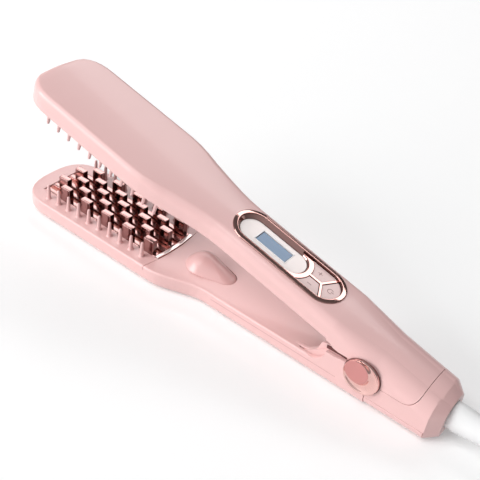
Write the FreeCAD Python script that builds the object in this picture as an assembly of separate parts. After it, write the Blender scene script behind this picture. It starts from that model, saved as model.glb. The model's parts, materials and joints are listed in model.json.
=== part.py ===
import FreeCAD, Part
import math
import os
from FreeCAD import Vector

os.makedirs("parts", exist_ok=True)

# Driving dimensions in millimetres and degrees, measured from the hinge axis unless said otherwise.
# X runs to the tail, Z runs up, and the part lies on its lever and tail at z = 0.
open_angle = 13.25
hinge_height = 18.0
body_reach = 232.1
lever_tip_setback = 3.9
tail_reach = 41.6
pin_pitch = 8.0

# Comb surfaces: the lever's face below the hinge axis, and the gap between the two faces when closed.
lever_face_drop = 7.4
closed_gap = 10.1

# Plan of the two arms.
paddle_width = 49.2
handle_width = 32.4
tip_round_length = 20.5
body_neck_start = 151.0
body_neck_end = 94.0
lever_neck_start = 128.0
lever_neck_end = 96.0

# Body shell.
body_thickness = 11.6
body_wall = 1.8
paddle_edge_round = 3.2
handle_edge_round = 9.5
body_low_round = 1.6
body_crown = 0.7
body_nose_round = 5.0
rear_block_start = 24.0
rear_top_drop = 1.6
rear_blend_length = 26.0

# Lever shell.
lever_wall = 1.8
lever_low_round = 6.6
lever_top_round = 1.2
lever_crown = 0.15
lever_nose_round = 6.0
lever_frame_depth = 2.6
lever_rear_end = 3.4
ear_thickness = 3.0
ear_radius = 6.2
ear_front = 36.0
ear_shoulder = 17.0
ear_top = 4.4

# Combs and grid plates.
pin_length = 9.2
pin_root_radius = 1.15
pin_tip_radius = 0.8
pin_tip_length = 0.8
pin_tip_end_radius = 0.4
pin_row_offset = 18.8
pin_front_margin = 8.9
pin_rear_margin = 9.0
plate_tip_margin = 13.4
plate_half_width = 14.6
plate_rear = 128.4
seam_sagitta = 3.0
plate_fit = 0.2
seam_gap = 0.25
plate_flange = 1.5
plate_flange_thickness = 1.2
plate_recess = 0.5
plate_lip_width = 2.2
row_pitch = 6.37
row_count = 5
tooth_front_margin = 17.5
tooth_length = 6.64
tooth_width = 3.2
tooth_height = 8.9
tooth_edge_chamfer = 0.45
rib_height = 0.7
body_frame_depth = 2.5

# Heaters.
heater_end_margin = 10.15
heater_width = 22.0
heater_thickness = 2.4
clamp_thickness = 0.7
clamp_width = 12.0
clamp_foot = 4.0
fuse_radius = 1.4
fuse_length = 9.0
fuse_gap = 1.5
lead_radius = 0.7
lead_gap = 0.5
lead_spacing = 2.2
lead_step = 9.0
lead_drop = 1.0

# Display and buttons, on the handle's top.
bezel_start = 98.3
bezel_length = 68.2
bezel_width = 23.6
bezel_proud = 0.4
bezel_board_gap = 0.5
bezel_rim = 2.3
panel_start = 94.6
panel_length = 41.0
panel_width = 15.2
panel_top = 12.8
panel_thickness = 1.4
panel_slope_width = 1.9
window_start = 83.0
window_length = 19.4
window_width = 8.0
window_inset = 0.35
lcd_margin = 2.0
bridge_width = 3.2
bridge_height = 13.8
rib_width = 1.2
rib_fork_share = 0.30
rib_arm_angle = 62.0
button_height = 2.0
button_top = 13.5
button_gap = 0.3
button_travel = 0.5
switch_side = 4.2
switch_gap = 0.1
switch_room = 0.3

# Circuit board.
board_start = 100.0
board_length = 74.0
board_width = 21.0
board_thickness = 1.6
board_bottom = 8.4
post_radius = 2.2
post_inset = 5.0
capacitor_radius = 1.5
capacitor_length = 10.0
triac_length = 9.0
triac_width = 8.0
triac_height = 2.0
terminal_length = 7.0
terminal_width = 14.0
terminal_height = 2.4
under_cover_end = 42.0

# Hinge.
hinge_pin_radius = 2.5
pin_fit = 0.02
running_fit = 0.06
bush_wall = 1.5
lobe_radius = 8.7
side_gap = 0.4
cheek_front = 30.0
cheek_rise_start = 21.0
cheek_step_start = 15.5
cheek_step_end = 12.3
cheek_top = 1.3
cheek_rear_top = 2.0
cap_radius = 9.8
cap_face_radius = 6.3
cap_height = 3.3
cap_lift = 0.3
cap_face_shift_share = 0.28
cap_face_rise_share = 0.20
cap_dish = 0.5
spring_wire_radius = 0.6
spring_clearance = 0.5
spring_turns = 5
spring_pitch = 1.8
spring_leg = 9.0

# Tail.
tail_skirt_start = 4.0
tail_low_round = 6.0
tail_wall = 1.8
tail_end_wall = 6.6
tail_web_length = 6.0
tail_web_height = 2.0
tail_seam_height = 1.6
tail_seam_reach = 28.8
tail_seam_round = 8.0
tail_chamfer_length = 5.6
tail_chamfer_side = 5.6
tail_chamfer_top = 3.4
tail_chamfer_low = 2.0
under_cover_height = 6.6
screw_head_radius = 2.4
screw_head_height = 1.5
screw_shank_radius = 1.1
screw_shank_length = 7.5
screw_boss_wall = 1.4
screw_fit = 0.1
lever_screw_places = (104.0, 60.0)

# Raised oval on the lever.
boss_start = 119.0
boss_length = 31.0
boss_front_width = 20.0
boss_rear_width = 12.0
boss_height = 5.0
boss_seat_depth = 1.0
boss_fit = 0.25
boss_top_share = 0.42

# Strain relief and swivel.
relief_height = 11.1
relief_radius = 7.2
relief_end_radius = 4.1
relief_length = 44.0
relief_fit = 0.35
relief_collar_length = 4.0
relief_flange_radius = 8.6
relief_flange_length = 2.4
relief_flange_gap = 0.3
swivel_collar_length = 2.6
swivel_collar_bore = 5.0

# Cord, hank, tie and plug.
cord_radius = 3.0
hank_inner_radius = 18.0
hank_turn_pitch = 7.9
hank_layer_step = 6.7
hank_layers = 4
hank_run = 112.0
hank_start_run = 6.0
hank_end_run = 6.0
hank_drop_run = 52.0
tie_width = 10.0
tie_thickness = 0.7
tie_gap = 0.25
tie_top_gap = 0.8
tie_round = 3.0
plug_length = 33.0
plug_width = 23.0
plug_thickness = 15.0
plug_corner_round = 3.6
plug_crown = 0.4
plug_neck_length = 10.0
plug_neck_radius = 4.4
plug_neck_end_radius = 3.8
plug_blade_thickness = 1.5
plug_blade_width = 6.3
plug_blade_length = 16.0
plug_blade_spacing = 12.7
plug_blade_seat = 5.0
cut_overrun = 5.0

# Places of the tail's screws, as shares of the way from its skirt to the swivel collar.
tail_screw_shares = (0.32, 0.71)

# Sizes that follow from the driving dimensions.
lever_reach = body_reach - lever_tip_setback
plate_front = body_reach - plate_tip_margin
tooth_start = plate_front - tooth_front_margin
tooth_room = tooth_start - tooth_length / 2 - plate_rear - plate_lip_width - seam_sagitta
tooth_count = 1 + int(tooth_room / (2 * pin_pitch))
lever_pin_start = plate_front - pin_front_margin
lever_pin_count = 1 + int((lever_pin_start - plate_rear - pin_rear_margin) / pin_pitch)
body_pin_count = lever_pin_count + 1
heater_length = plate_front - plate_rear - 2 * heater_end_margin
swivel_collar_end = tail_reach - tail_end_wall - 2 * relief_flange_gap - relief_flange_length
swivel_collar_start = swivel_collar_end - swivel_collar_length
tail_screw_run = swivel_collar_start - tail_skirt_start
tail_screw_places = [tail_skirt_start + share * tail_screw_run for share in tail_screw_shares]
hinge_place = Vector((lever_reach - tail_reach) / 2, 0, hinge_height)
lever_bottom = -hinge_height
lever_face = -lever_face_drop
body_face = lever_face + closed_gap
paddle_half = paddle_width / 2
handle_half = handle_width / 2
body_top = body_face + body_thickness
seam_half = paddle_half
seam_radius = (seam_half ** 2 + seam_sagitta ** 2) / (2 * seam_sagitta)
relief_axis_height = relief_height - hinge_height
wide = paddle_width + cut_overrun
tall = 2 * (hinge_height + body_top + lever_reach)

# Counts of cross-sections along the round tip and the neck, and the powers of the tip's outline.
tip_steps = 9
neck_steps = 8
tip_power_share = 2.5
tip_root_share = 3.0
round_limit_share = 0.45
path_run_share = 0.45
hank_waist_share = 0.08
hank_climb_share = 0.5
hank_small_share = 0.004
hank_gap_samples = 3000
plug_waist_share = 0.5
plug_taper_share = 0.4
flat_share = 1e-6

# Edge of the body's side wall over the hinge, as shares of the lobe's radius along X and Z.
slot_shares = ((-2.08, 0.68), (-1.72, 0.60), (-0.98, 0.60))
slot_start_share = 2.42

# Middle of the cheek's concave front edge, as shares of its length and height.
cheek_bend_shares = (0.72, 0.30)

# Free run of the cord from the strain relief to the hank, in the part's own frame.
cord_route = (
    (178.9, 0.0, 11.1), (192.0, 0.0, 11.1), (207.0, -4.0, 6.5), (221.0, -13.0, 4.0), (235.0, -22.5, 4.0),
    (249.0, -25.9, 4.0), (258.0, -25.9, 4.0),
)


def line(a, b):
    return Part.LineSegment(a, b).toShape()


def arc(a, b, c):
    return Part.Arc(a, b, c).toShape()


def ease(share):
    """Smooth step from 0 to 1."""
    t = min(1.0, max(0.0, share))
    return t * t * (3 - 2 * t)


def block(x0, x1, y0, y1, z0, z1):
    """Box between two corners."""
    return Part.makeBox(x1 - x0, y1 - y0, z1 - z0, Vector(x0, y0, z0))


def side_prism(wire, half_width):
    """Solid from an outline in the XZ plane, spread to both sides of the middle."""
    face = Part.Face(wire)
    solid = face.extrude(Vector(0, 2 * half_width, 0))
    solid.translate(Vector(0, -half_width, 0))
    return solid


def plan_prism(wire, z0, z1):
    """Solid from an outline in the XY plane at z = 0, between two heights."""
    solid = Part.Face(wire).extrude(Vector(0, 0, z1 - z0))
    solid.translate(Vector(0, 0, z0))
    return solid


def polygon(points):
    return Part.makePolygon(list(points) + [points[0]])


def cross_section(x, half, low, high, top_round, low_round, crown):
    """Closed outline across an arm: flat sides, four round corners and a crowned top."""
    limit = round_limit_share * (high - low)
    t = min(top_round, limit)
    b = min(low_round, limit)
    s = math.sqrt(0.5)
    ts = t - t * s
    bs = b - b * s
    right = [
        (half - b, low),
        (half - bs, low + bs),
        (half, low + b),
        (half, high - t),
        (half - ts, high - ts),
        (half - t, high),
    ]
    p = [Vector(x, y, z) for y, z in right]
    q = [Vector(x, -y, z) for y, z in right]
    peak = Vector(x, 0, high + crown)
    return Part.Wire([
        line(q[0], p[0]),
        arc(p[0], p[1], p[2]),
        line(p[2], p[3]),
        arc(p[3], p[4], p[5]),
        arc(p[5], peak, q[5]),
        arc(q[5], q[4], q[3]),
        line(q[3], q[2]),
        arc(q[2], q[1], q[0]),
    ])


def tip_width_share(share):
    """Half-width of the round tip, as a share of the paddle's half-width."""
    return (1 - (1 - share) ** tip_power_share) ** (1 / tip_root_share)


def nose_drop(distance, radius):
    """How far the edge falls back at this distance behind the tip."""
    t = min(1.0, distance / radius)
    return radius * (1 - math.sqrt(1 - (1 - t) ** 2))


def arm_places(reach, neck_start, neck_end, rear):
    """Stations along an arm as (place, share of the tip, share of the neck)."""
    places = []
    for k in range(1, tip_steps + 1):
        share = (k / tip_steps) ** 2
        places.append((-reach + tip_round_length * share, share, 0.0))
    for k in range(neck_steps + 1):
        share = k / neck_steps
        places.append((-neck_start + (neck_start - neck_end) * share, 1.0, share))
    places.append((-rear, 1.0, 1.0))
    return places


def body_loft(inset, low):
    """Paddle and handle of the upper arm, drawn in by the inset."""
    wires = []
    for x, tip, neck in arm_places(body_reach - inset, body_neck_start, body_neck_end, rear_block_start):
        half = tip_width_share(tip) * paddle_half + (handle_half - paddle_half) * ease(neck) - inset
        edge = paddle_edge_round + (handle_edge_round - paddle_edge_round) * ease(neck)
        top_round = max(edge - inset, body_low_round)
        top = body_top - inset - nose_drop(x + body_reach - inset, body_nose_round)
        wires.append(cross_section(x, half, low, top, top_round, body_low_round, body_crown))
    return Part.makeLoft(wires, True, True)


def body_rear(inset, low):
    """Rear of the handle round the hinge, straight-sided, ending past the seam of the tail."""
    end = tail_reach + cut_overrun
    half = handle_half - inset
    edge = handle_edge_round - inset
    front_edge = min(edge, round_limit_share * body_thickness)
    places = ((-rear_block_start, front_edge), (rear_blend_length - rear_block_start, edge), (end, edge))
    wires = []
    for x, top_round in places:
        drop = rear_top_drop * (x + rear_block_start) / (end + rear_block_start)
        top = body_top - inset - drop
        wires.append(cross_section(x, half, low, top, top_round, body_low_round, body_crown))
    return Part.makeLoft(wires, True, True)


def tilt(shape):
    """Turn a shape of the upper arm from the closed position to the open rest position."""
    turned = shape.copy()
    turned.rotate(Vector(0, 0, 0), Vector(0, 1, 0), open_angle)
    return turned


def seam_edge(x, half, z=0.0):
    """Arc across an arm that bulges to the tail, where the comb frame ends."""
    side = Vector(x - seam_radius + math.sqrt(seam_radius ** 2 - half ** 2), half, z)
    return arc(side, Vector(x, 0, z), Vector(side.x, -half, z))


def ahead_of_seam(x, z0, z1):
    """Everything on the head's side of the seam arc."""
    edge = seam_edge(x, wide / 2)
    ends = [v.Point for v in edge.Vertexes]
    far = -body_reach - cut_overrun
    a = Vector(far, -wide / 2, 0)
    b = Vector(far, wide / 2, 0)
    low_end, high_end = sorted(ends, key=lambda p: p.y)
    wire = Part.Wire([edge, line(low_end, a), line(a, b), line(b, high_end)])
    return plan_prism(wire, z0, z1)


def stadium(start, length, width, z):
    """Long oval in plan that starts at the head's end."""
    r = width / 2
    a = start + r
    b = start + length - r
    return Part.Wire([
        line(Vector(a, -r, z), Vector(b, -r, z)),
        arc(Vector(b, -r, z), Vector(b + r, 0, z), Vector(b, r, z)),
        line(Vector(b, r, z), Vector(a, r, z)),
        arc(Vector(a, r, z), Vector(a - r, 0, z), Vector(a, -r, z)),
    ])


def stadium_prism(start, length, width, z0, z1):
    solid = Part.Face(stadium(start, length, width, z0)).extrude(Vector(0, 0, z1 - z0))
    return solid


def round_bar(radius, y0, y1, x=0.0, z=0.0):
    """Cylinder along Y."""
    return Part.makeCylinder(radius, y1 - y0, Vector(x, y0, z), Vector(0, 1, 0))


def pin_row(start, count, face, up):
    """Both rows of comb pins standing on a face."""
    step = Vector(0, 0, 1 if up else -1)
    pins = []
    for side in (-pin_row_offset, pin_row_offset):
        for i in range(count):
            foot = Vector(start + i * pin_pitch, side, face)
            shaft = pin_length - pin_tip_length
            body = Part.makeCone(pin_root_radius, pin_tip_radius, shaft, foot, step)
            tip = Part.makeCone(pin_tip_radius, pin_tip_end_radius, pin_tip_length, foot + step * shaft, step)
            pins.append(body.fuse(tip))
    return pins


def grid_plate(shift, up):
    """Heated plate with castellated ribs, drawn face up at height zero and then turned over if needed."""
    front = -plate_front + plate_fit
    half = plate_half_width - plate_fit
    base_top = -plate_recess
    flange_top = -(body_frame_depth if not up else lever_frame_depth)
    base = block(front, 0, -half, half, flange_top, base_top)
    flange = block(front - plate_flange, 0, -half - plate_flange, half + plate_flange,
                   flange_top - plate_flange_thickness, flange_top)
    plate = base.fuse(flange)
    lip = block(-plate_rear - plate_lip_width - seam_sagitta, 0, -half, half, base_top, 0)
    lip = lip.cut(ahead_of_seam(-plate_rear - seam_gap - plate_lip_width, -wide, wide))
    plate = plate.fuse(lip).common(ahead_of_seam(-plate_rear - seam_gap, -wide, wide))
    rib_front = front + plate_fit
    for row in range(row_count):
        y = (row - (row_count - 1) / 2) * row_pitch
        offset = pin_pitch * ((row + shift) % 2)
        outline = [Vector(rib_front, 0, base_top)]
        for k in range(tooth_count):
            centre = -tooth_start - offset + 2 * pin_pitch * k
            a = max(centre - tooth_length / 2, rib_front)
            b = centre + tooth_length / 2
            outline += [
                Vector(a, 0, base_top + rib_height),
                Vector(a, 0, tooth_height),
                Vector(b, 0, tooth_height),
                Vector(b, 0, base_top + rib_height),
            ]
        last = -plate_rear - plate_lip_width - seam_sagitta
        outline[1:1] = [Vector(rib_front, 0, base_top + rib_height)]
        outline += [Vector(last, 0, base_top + rib_height), Vector(last, 0, base_top)]
        rib = side_prism(polygon(outline), tooth_width / 2)
        c = tooth_edge_chamfer
        w = tooth_width / 2
        profile = [
            Vector(rib_front, -w, base_top), Vector(rib_front, w, base_top),
            Vector(rib_front, w, tooth_height - c), Vector(rib_front, w - c, tooth_height),
            Vector(rib_front, c - w, tooth_height), Vector(rib_front, -w, tooth_height - c),
        ]
        bar = Part.Face(polygon(profile)).extrude(Vector(last - rib_front, 0, 0))
        rib = rib.common(bar)
        rib.translate(Vector(0, y, 0))
        plate = plate.fuse(rib)
    plate = plate.removeSplitter()
    if not up:
        plate = plate.mirror(Vector(0, 0, 0), Vector(0, 0, 1))
    return plate


def heater_set(up):
    """Heater slab, its steel clamp and the thermal cut-out, behind a plate that faces up at height zero."""
    depth = (lever_frame_depth if up else body_frame_depth) + plate_flange_thickness
    top = -depth
    middle = -(plate_front + plate_rear) / 2
    low = top - heater_thickness
    x0 = middle - heater_length / 2
    x1 = middle + heater_length / 2
    heater = block(x0, x1, -heater_width / 2, heater_width / 2, low, top)
    strap = block(x0 - clamp_foot - clamp_thickness, x1 + clamp_foot + clamp_thickness,
                  -clamp_width / 2, clamp_width / 2, low - clamp_thickness, top)
    inner = block(x0, x1, -clamp_width, clamp_width, low, top)
    clamp = strap.cut(inner)
    for a, b in ((x0 - clamp_foot - clamp_thickness, x0 - clamp_thickness),
                 (x1 + clamp_thickness, x1 + clamp_foot + clamp_thickness)):
        clamp = clamp.cut(block(a, b, -clamp_width, clamp_width,
                                low - clamp_thickness, top - clamp_thickness))
    fuse_y = clamp_width / 2 + fuse_gap + fuse_radius
    fuse_x = x1 + fuse_gap
    fuse_end = Vector(fuse_x, fuse_y, top - fuse_radius)
    fuse = Part.makeCylinder(fuse_radius, fuse_length, fuse_end, Vector(1, 0, 0))
    pieces = [heater, clamp, fuse]
    if not up:
        pieces = [p.mirror(Vector(0, 0, 0), Vector(0, 0, 1)) for p in pieces]
    return pieces


def rounded_path(points):
    """Wire of straight runs joined by tangent arcs, each as large as its two runs allow."""
    edges = []
    start = points[0]
    for before, corner, after in zip(points, points[1:], points[2:]):
        u = (before - corner).normalize()
        v = (after - corner).normalize()
        half_turn = (math.pi - u.getAngle(v)) / 2
        run = min((before - corner).Length, (after - corner).Length)
        cut = path_run_share * run
        radius = cut / math.tan(half_turn)
        a = corner + u * cut
        b = corner + v * cut
        bisector = (u + v).normalize()
        reach = radius / math.cos(half_turn) - radius
        edges.append(line(start, a))
        edges.append(arc(a, corner + bisector * reach, b))
        start = b
        print("route turn %.1f degrees, radius %.1f" % (math.degrees(2 * half_turn), radius))
    edges.append(line(start, points[-1]))
    return Part.Wire(edges)


def tube(path, radius):
    """Round tube along a wire, with its volume compared with section times length."""
    first = path.Edges[0]
    start = first.valueAt(first.FirstParameter)
    direction = first.tangentAt(first.FirstParameter)
    ring = Part.Wire([Part.Circle(start, direction, radius).toShape()])
    solid = path.makePipeShell([ring], True, False)
    expected = math.pi * radius ** 2 * path.Length
    print("tube length %.1f, volume share %.4f" % (path.Length, solid.Volume / expected))
    return solid


def biarc(p0, t0, p1, t1):
    """Two tangent arcs from one point and direction to another."""
    v = p1 - p0
    t = t0 + t1
    a = 2 * (t0.dot(t1) - 1)
    b = -2 * v.dot(t)
    c = v.dot(v)
    if abs(a) < flat_share:
        d = -c / b
    else:
        d = (-b - math.sqrt(b * b - 4 * a * c)) / (2 * a)
        if d < 0:
            d = (-b + math.sqrt(b * b - 4 * a * c)) / (2 * a)
    q0 = p0 + t0 * d
    q1 = p1 - t1 * d
    m = (q0 + q1) * 0.5
    return [tangent_arc(p0, q0, m), tangent_arc(m, q1, p1)]


def tangent_arc(a, corner, b):
    """Arc from a to b that touches both legs of the corner, which are equally long."""
    chord_middle = (a + b) * 0.5
    toward = corner - chord_middle
    half = (b - a).Length / 2
    rise = toward.Length
    if rise < flat_share * half:
        return line(a, b)
    leg = (corner - a).Length
    radius = half * leg / rise
    sagitta = radius - math.sqrt(max(radius ** 2 - half ** 2, 0.0))
    return arc(a, chord_middle + toward.normalize() * sagitta, b)


def least_gap(points, radius, skip):
    """Least distance between turns of a wound tube, measured on sampled points of its middle line."""
    best = None
    for i, a in enumerate(points):
        for b in points[i + skip:]:
            d = a.distanceToPoint(b)
            best = d if best is None or d < best else best
    return best - 2 * radius


def rest_point(x, z):
    """A point of the upper arm's side view, moved from the closed position to the rest position."""
    a = math.radians(open_angle)
    return Vector(x * math.cos(a) + z * math.sin(a), 0, z * math.cos(a) - x * math.sin(a))


def rear_top_height(x):
    """Height of the handle's top over the tail, in the rest position."""
    a = rest_point(-rear_block_start, body_top)
    b = rest_point(tail_reach + cut_overrun, body_top - rear_top_drop)
    return a.z + (b.z - a.z) * (x - a.x) / (b.x - a.x)


def hinge_window():
    """Side view of the body's walls round the hinge: above the slot's edge, with a round lobe at the pin."""
    far = tail_reach + cut_overrun
    front = rest_point(-body_reach, body_face)
    start = rest_point(-slot_start_share * lobe_radius, body_face)
    points = [front, start]
    points += [Vector(a * lobe_radius, 0, b * lobe_radius) for a, b in slot_shares]
    points += [
        Vector(0, 0, slot_shares[-1][1] * lobe_radius),
        Vector(0, 0, -tail_seam_height),
        Vector(far, 0, -tail_seam_height),
        Vector(far, 0, tall),
        Vector(front.x, 0, tall),
    ]
    walls = side_prism(polygon(points), wide / 2).cut(tail_region(0.0))
    return walls.fuse(round_bar(lobe_radius, -wide / 2, wide / 2))


def tail_region(gap):
    """Side view of the tail cap: behind the seam that sweeps forward along the sides."""
    far = tail_reach + cut_overrun
    low = lever_bottom + under_cover_height
    high = -tail_seam_height - gap
    x = tail_seam_reach + gap
    r = tail_seam_round
    s = math.sqrt(0.5)
    bend = Vector(x - r + r * s, 0, high + r - r * s)
    p = [
        Vector(tail_skirt_start, 0, low),
        Vector(tail_skirt_start, 0, high),
        Vector(x - r, 0, high),
        Vector(x, 0, high + r),
        Vector(x, 0, tall),
        Vector(far, 0, tall),
        Vector(far, 0, lever_bottom - cut_overrun),
        Vector(tail_reach - tail_chamfer_length, 0, lever_bottom - cut_overrun),
        Vector(tail_reach - tail_chamfer_length, 0, low),
    ]
    wire = Part.Wire([
        line(p[0], p[1]), line(p[1], p[2]), arc(p[2], bend, p[3]), line(p[3], p[4]),
        line(p[4], p[5]), line(p[5], p[6]), line(p[6], p[7]), line(p[7], p[8]), line(p[8], p[0]),
    ])
    return side_prism(wire, wide / 2)


def tail_solid():
    """Outer form of the tail with its chamfered end."""
    bevel = tail_reach - tail_chamfer_length
    sections = []
    for x in (tail_skirt_start, bevel):
        top = rear_top_height(x)
        sections.append(cross_section(x, handle_half, lever_bottom, top,
                                      handle_edge_round, tail_low_round, body_crown))
    end_top = rear_top_height(bevel) - tail_chamfer_top
    end_round = handle_edge_round - tail_chamfer_top
    end_low_round = tail_low_round - tail_chamfer_low
    end = cross_section(tail_reach, handle_half - tail_chamfer_side, lever_bottom + tail_chamfer_low,
                        end_top, end_round, end_low_round, body_crown)
    trunk = Part.makeLoft(sections, True, True)
    return trunk.fuse(Part.makeLoft([sections[1], end], True, True))


def tail_cavity():
    """Hollow of the tail, closed at the rear by the end wall."""
    sections = []
    for x in (tail_skirt_start - cut_overrun, tail_reach - tail_end_wall):
        top = rear_top_height(x) - tail_wall
        sections.append(cross_section(x, handle_half - tail_wall, lever_bottom + tail_wall, top,
                                      handle_edge_round - tail_wall, tail_low_round - tail_wall, body_crown))
    return Part.makeLoft(sections, True, True)


def lever_loft(inset, high):
    """Lever from its tip to the hinge, drawn in by the inset."""
    wires = []
    for x, tip, neck in arm_places(lever_reach - inset, lever_neck_start, lever_neck_end, -lever_rear_end):
        half = tip_width_share(tip) * paddle_half + (handle_half - paddle_half) * ease(neck) - inset
        low = lever_bottom + inset + nose_drop(x + lever_reach - inset, lever_nose_round)
        wires.append(cross_section(x, half, low, high, lever_top_round, lever_low_round - inset, lever_crown))
    return Part.makeLoft(wires, True, True)


def button_cells(gap):
    """The three button outlines between the bridge, the forked rib and the rim, in from them by the gap."""
    inset = bezel_rim + gap
    z0 = button_top - button_height
    area = stadium_prism(inset - bezel_start, bezel_length - 2 * inset, bezel_width - 2 * inset,
                         z0, button_top)
    panel_end = panel_length - panel_start - panel_width / 2
    keep = block(panel_end, cut_overrun, -wide, wide, z0, button_top)
    bridge = Part.makeCylinder(panel_width / 2 + bridge_width + gap, tall, Vector(panel_end, 0, 0))
    area = area.common(keep).cut(bridge)
    fork = panel_end + panel_width / 2 + bridge_width + rib_fork_share * bezel_width
    half = rib_width / 2 + gap
    area = area.cut(block(panel_end, fork, -half, half, z0, button_top))
    for side in (-1, 1):
        arm = block(0, bezel_width, -half, half, z0, button_top)
        arm.rotate(Vector(0, 0, 0), Vector(0, 0, 1), side * rib_arm_angle)
        arm.translate(Vector(fork, 0, 0))
        area = area.cut(arm)
    cells = sorted(area.Solids, key=lambda c: c.CenterOfMass.x)
    front = sorted(cells[:2], key=lambda c: c.CenterOfMass.y)
    return front + cells[2:]


def screw(x, y, low):
    """Screw standing head down, sunk into a floor's lower face."""
    seat = low + screw_fit + screw_head_height
    head = pillar(x, y, low + screw_fit, seat, screw_head_radius)
    return head.fuse(pillar(x, y, seat, seat + screw_shank_length, screw_shank_radius))


def screw_hole(x, y, low):
    """Room for such a screw."""
    seat = low + screw_fit + screw_head_height
    head = pillar(x, y, low - cut_overrun, seat, screw_head_radius + screw_fit)
    return head.fuse(pillar(x, y, low, seat + screw_shank_length + screw_fit, screw_shank_radius + screw_fit))


def pillar(x, y, z0, z1, radius):
    return Part.makeCylinder(radius, z1 - z0, Vector(x, y, z0))


def make_top_cover():
    front = body_loft(0.0, body_face).cut(body_loft(body_wall, body_face - cut_overrun))
    low = lever_bottom - cut_overrun
    rear = body_rear(0.0, low).cut(body_rear(body_wall, low - cut_overrun))
    rear = tilt(rear).common(hinge_window())
    opening = stadium_prism(-bezel_start, bezel_length, bezel_width, board_bottom, tall)
    cover = tilt(front.cut(opening)).fuse(rear)
    return cover.cut(round_bar(hinge_pin_radius + pin_fit, -wide, wide))


def make_upper_comb_frame():
    low = body_face
    high = body_face + body_frame_depth
    slab = body_loft(body_wall + plate_fit, low - cut_overrun)
    slab = slab.common(block(-body_reach, 0, -wide, wide, low, high))
    slab = slab.common(ahead_of_seam(-plate_rear - seam_gap, low - cut_overrun, high + cut_overrun))
    window = block(-plate_front, 0, -plate_half_width, plate_half_width, -tall, tall)
    frame = slab.cut(window)
    start = -lever_pin_start - pin_pitch / 2
    return tilt(frame.multiFuse(pin_row(start, body_pin_count, low, False)))


def make_handle_under_cover():
    low = body_face
    high = body_face + body_frame_depth
    slab = body_loft(body_wall + plate_fit, low - cut_overrun)
    slab = slab.common(block(-body_reach, -under_cover_end, -wide, wide, low, high))
    cover = slab.cut(ahead_of_seam(-plate_rear, low - cut_overrun, high + cut_overrun))
    y = board_width / 2 - post_inset
    for x in (post_inset - board_start, -under_cover_end - post_inset):
        cover = cover.fuse(pillar(x, -y, high, board_bottom, post_radius))
        cover = cover.fuse(pillar(x, y, high, board_bottom, post_radius))
    return tilt(cover)


def make_display_bezel():
    base = board_bottom + board_thickness + bezel_board_gap
    top = body_top + body_crown + bezel_proud
    ring = stadium_prism(-bezel_start, bezel_length, bezel_width, base, tall)
    ring = ring.common(body_loft(-bezel_proud, body_face))
    recess = stadium_prism(-panel_start, panel_length, panel_width, base - cut_overrun, panel_top)
    foot = stadium(-panel_start, panel_length, panel_width, panel_top)
    grow = 2 * panel_slope_width
    mouth = stadium(-panel_start - panel_slope_width, panel_length + grow, panel_width + grow, top)
    slope = Part.makeLoft([foot, mouth], True, True)
    inner = bezel_width - 2 * bezel_rim
    deck = stadium_prism(bezel_rim - bezel_start, bezel_length - 2 * bezel_rim, inner, bridge_height, tall)
    panel_end = panel_length - panel_start - panel_width / 2
    deck = deck.common(block(panel_end, 0, -wide, wide, bridge_height, tall))
    bezel = ring.cut(recess).cut(slope).cut(deck)
    for cell in button_cells(0.0):
        for rise in (-button_height, 0, button_height):
            bezel = bezel.cut(cell.translated(Vector(0, 0, rise)))
    for room in switch_pads(switch_room):
        bezel = bezel.cut(room)
    return tilt(bezel)


def make_display_panel():
    fit = seam_gap
    panel = stadium_prism(fit - panel_start, panel_length - 2 * fit, panel_width - 2 * fit,
                          panel_top - panel_thickness, panel_top)
    half = window_width / 2
    end = window_length - window_start
    return tilt(panel.cut(block(-window_start, end, -half, half, 0, tall)))


def make_lcd_module():
    low = board_bottom + board_thickness
    high = panel_top - panel_thickness
    half = window_width / 2
    end = window_length - window_start
    case_half = half + lcd_margin
    case = block(-window_start - lcd_margin, end + lcd_margin, -case_half, case_half, low, high)
    glass = block(window_inset - window_start, end - window_inset, window_inset - half, half - window_inset,
                  high, panel_top - window_inset)
    return tilt(case.fuse(glass))


def make_board():
    half = board_width / 2
    return tilt(block(-board_start, board_length - board_start, -half, half,
                      board_bottom, board_bottom + board_thickness))


def switch_pads(gap):
    """A switch under each button, or with a gap the room that the bezel leaves for it."""
    low = board_bottom + board_thickness
    high = button_top - button_height - button_travel - switch_gap + gap
    side = switch_side / 2 + gap
    pads = []
    for cell in button_cells(button_gap):
        c = cell.CenterOfMass
        pads.append(block(c.x - side, c.x + side, c.y - side, c.y + side, low, high))
    return pads


def make_switches():
    return Part.makeCompound([tilt(pad) for pad in switch_pads(0.0)])


def make_board_parts():
    """Capacitor, triac and terminal block on the board's underside."""
    z = board_bottom
    x = -board_start + 2 * post_inset + post_radius
    triac = block(x, x + triac_length, -triac_width / 2, triac_width / 2, z - triac_height, z)
    x2 = x + triac_length + post_inset
    side = Vector(x2, 0, z - capacitor_radius)
    capacitor = Part.makeCylinder(capacitor_radius, capacitor_length, side, Vector(1, 0, 0))
    end = board_length - board_start
    half = terminal_width / 2
    terminal = block(end - terminal_length, end, -half, half, z - terminal_height, z)
    return tilt(triac), tilt(capacitor), tilt(terminal)


def make_leads(z0, z1, end):
    """Pair of wires from a heater's rear end, beside its clamp, to a place nearer the hinge."""
    x = heater_length / 2 - (plate_front + plate_rear) / 2
    y = -clamp_width / 2 - lead_gap - lead_radius
    wires = []
    for side in (y, y - lead_spacing):
        path = [Vector(x, side, z0), Vector(x + lead_step, side, z0),
                Vector(x + 2 * lead_step, side, z1), Vector(end, side, z1)]
        wires.append(tube(rounded_path(path), lead_radius))
    return Part.makeCompound(wires)


def relief_bore():
    """Round way out of the tail for the strain relief."""
    radius = relief_radius + relief_fit
    return Part.makeCylinder(radius, tall, Vector(0, 0, relief_axis_height), Vector(1, 0, 0))


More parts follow.
